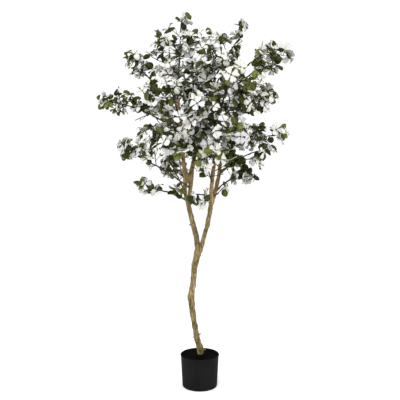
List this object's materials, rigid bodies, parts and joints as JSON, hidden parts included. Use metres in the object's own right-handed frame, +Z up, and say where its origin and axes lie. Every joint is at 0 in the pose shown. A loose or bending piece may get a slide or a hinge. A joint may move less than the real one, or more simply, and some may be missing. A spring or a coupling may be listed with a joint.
{
  "type": "artificial flowering dogwood tree",
  "caption": "Artificial dogwood tree: a leaning natural-wood trunk forks into limbs that carry wired sprays of green leaves and white blossom, standing in a plain round black pot.",
  "frame": {"origin": "centre of the flat underside of the pot, on the floor", "axes": "+Z up along the pot axis, +X to the right and -Y towards someone who faces the tree"},
  "size_m": [0.9694, 0.8262, 1.8324],
  "materials": {
    "pot": "matte",
    "fill": "matte",
    "wood": "matte",
    "twig": "matte",
    "leaf": "matte",
    "petal": "matte"
  },
  "bodies": {
    "root": {"pot": "pot", "pot_fill": "fill", "trunk": "wood", "limb_left": "wood", "limb_right": "wood", "limb_left_outer": "wood", "limb_left_inner": "wood", "limb_right_inner": "wood", "limb_right_outer": "wood", "stem_upper_right": "wood", "bough_back_left": "twig", "bough_back_mid": "twig", "bough_front_mid": "twig", "bough_front_right": "twig", "bough_left_fork": "twig", "bough_left_mid": "twig", "bough_left_top": "twig", "bough_left_upper": "twig", "bough_low_left": "twig", "bough_low_right": "twig", "bough_right_low": "twig", "bough_right_mid": "twig", "bough_right_top": "twig", "bough_right_upper": "twig", "bough_right_wide": "twig", "bough_top_right": "twig", "foliage_back_high": "leaf", "foliage_back_left": "leaf", "foliage_back_mid": "leaf", "foliage_back_right": "leaf", "foliage_back_up_left": "leaf", "foliage_back_up_right": "leaf", "foliage_front_high": "leaf", "foliage_front_left": "leaf", "foliage_front_low": "leaf", "foliage_front_mid": "leaf", "foliage_front_right": "leaf", "foliage_front_up_left": "leaf", "foliage_front_up_right": "leaf", "foliage_inner_front": "leaf", "foliage_left_fork": "leaf", "foliage_left_mid": "leaf", "foliage_left_top": "leaf", "foliage_left_upper": "leaf", "foliage_low_back_left": "leaf", "foliage_low_front": "leaf", "foliage_low_left": "leaf", "foliage_low_right": "leaf", "foliage_right_inner": "leaf", "foliage_right_low": "leaf", "foliage_right_mid": "leaf", "foliage_right_top": "leaf", "foliage_right_upper": "leaf", "foliage_right_wide": "leaf", "foliage_small_left": "leaf", "foliage_small_right": "leaf", "foliage_top_back": "leaf", "foliage_top_left": "leaf", "foliage_top_middle": "leaf", "foliage_top_right": "leaf"}
  },
  "joints": []
}
